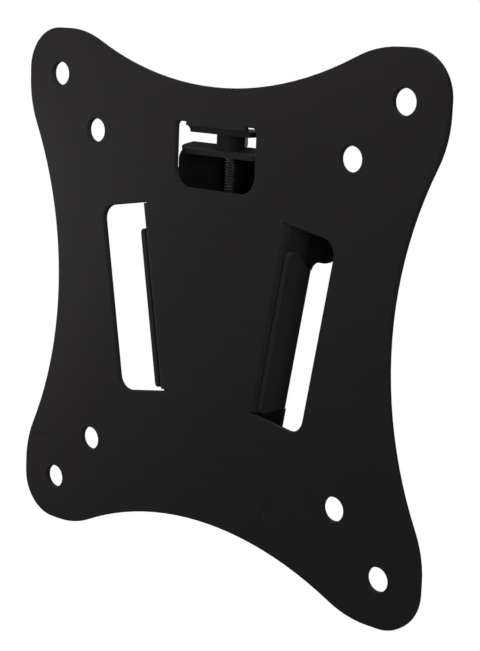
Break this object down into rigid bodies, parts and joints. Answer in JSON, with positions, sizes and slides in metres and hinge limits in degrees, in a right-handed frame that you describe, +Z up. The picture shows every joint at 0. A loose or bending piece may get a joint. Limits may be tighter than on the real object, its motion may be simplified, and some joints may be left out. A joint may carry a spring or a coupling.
{
  "type": "fixed tv wall bracket",
  "caption": "Low black steel bracket that holds a small flat screen flat to a wall: a star-shaped plate with slanted slots on a wall plate, locked by a screw.",
  "frame": {"origin": "centre of the screen's hole pattern, on the wall face", "axes": "+Y into the wall, +Z up, +X to the right seen from the front"},
  "size_m": [0.1216, 0.0096, 0.1216],
  "materials": {
    "black_coat": "satin powder coat",
    "black_hardware": "blackened"
  },
  "bodies": {
    "root": {"screen_plate": "black_coat", "wall_plate": "black_coat", "lock_screw": "black_hardware", "lock_nut": "black_hardware"}
  },
  "joints": []
}
